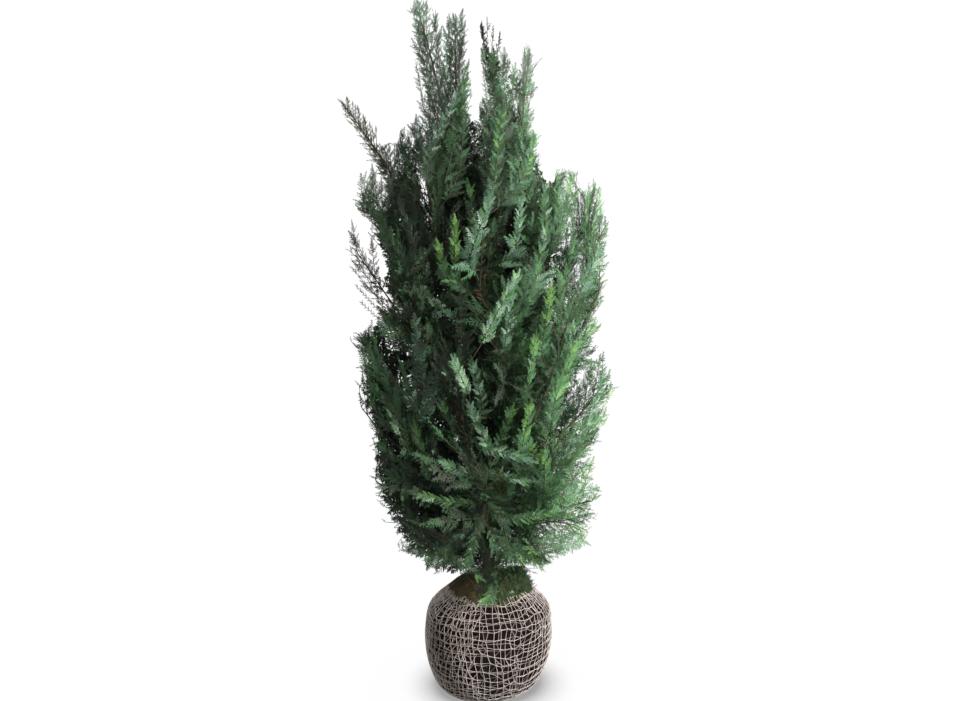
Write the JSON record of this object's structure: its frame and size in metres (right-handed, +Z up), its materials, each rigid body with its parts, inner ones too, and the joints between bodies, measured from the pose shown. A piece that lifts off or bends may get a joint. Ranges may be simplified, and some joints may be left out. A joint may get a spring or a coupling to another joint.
{
  "type": "root-balled lawson cypress",
  "caption": "Young upright Lawson cypress with two leading crests and flat fan-like sprays, lifted for planting on a root ball wrapped in netting.",
  "frame": {"origin": "on the flat underside of the root ball, below the foot of the trunk", "axes": "+Z up along the trunk; the side that faces a viewer in the picture faces -Y, and +X is to that viewer's right"},
  "size_m": [0.8314, 0.697, 2.02],
  "materials": {
    "soil": "matte",
    "net_yarn": "matte",
    "bark": "matte",
    "foliage": "satin"
  },
  "bodies": {
    "root": {"root_ball": "soil", "netting": "net_yarn", "trunk": "bark", "right_leader": "bark", "left_arch_bough": "bark", "upper_left_bough": "bark", "left_feather_bough": "bark", "mid_left_bough": "bark", "lower_left_bough": "bark", "low_right_bough": "bark", "right_side_bough": "bark", "mid_right_bough": "bark", "upper_right_low_bough": "bark", "front_mid_bough": "bark", "left_crest_foliage": "foliage", "left_crest_inner_foliage": "foliage", "right_crest_foliage": "foliage", "right_crest_outer_foliage": "foliage", "left_arch_foliage": "foliage", "left_tuft_foliage": "foliage", "upper_left_foliage": "foliage", "left_feather_foliage": "foliage", "mid_left_foliage": "foliage", "left_side_foliage": "foliage", "lower_left_foliage": "foliage", "low_left_foliage": "foliage", "foot_left_foliage": "foliage", "foot_front_foliage": "foliage", "foot_right_foliage": "foliage", "low_right_foliage": "foliage", "lower_right_foliage": "foliage", "right_side_foliage": "foliage", "mid_right_foliage": "foliage", "upper_right_low_foliage": "foliage", "right_outer_foliage": "foliage", "upper_right_foliage": "foliage", "right_tuft_foliage": "foliage", "front_left_top_foliage": "foliage", "front_right_top_foliage": "foliage", "front_left_high_foliage": "foliage", "front_right_high_foliage": "foliage", "front_high_foliage": "foliage", "front_left_fan_foliage": "foliage", "front_right_mid_foliage": "foliage", "front_right_fan_foliage": "foliage", "front_mid_foliage": "foliage", "front_left_low_foliage": "foliage", "front_low_foliage": "foliage", "front_right_low_foliage": "foliage", "skirt_left_foliage": "foliage", "skirt_right_foliage": "foliage", "back_1_foliage": "foliage", "back_2_foliage": "foliage", "back_3_foliage": "foliage", "back_4_foliage": "foliage", "back_5_foliage": "foliage", "back_6_foliage": "foliage", "back_7_foliage": "foliage", "back_8_foliage": "foliage"}
  },
  "joints": []
}
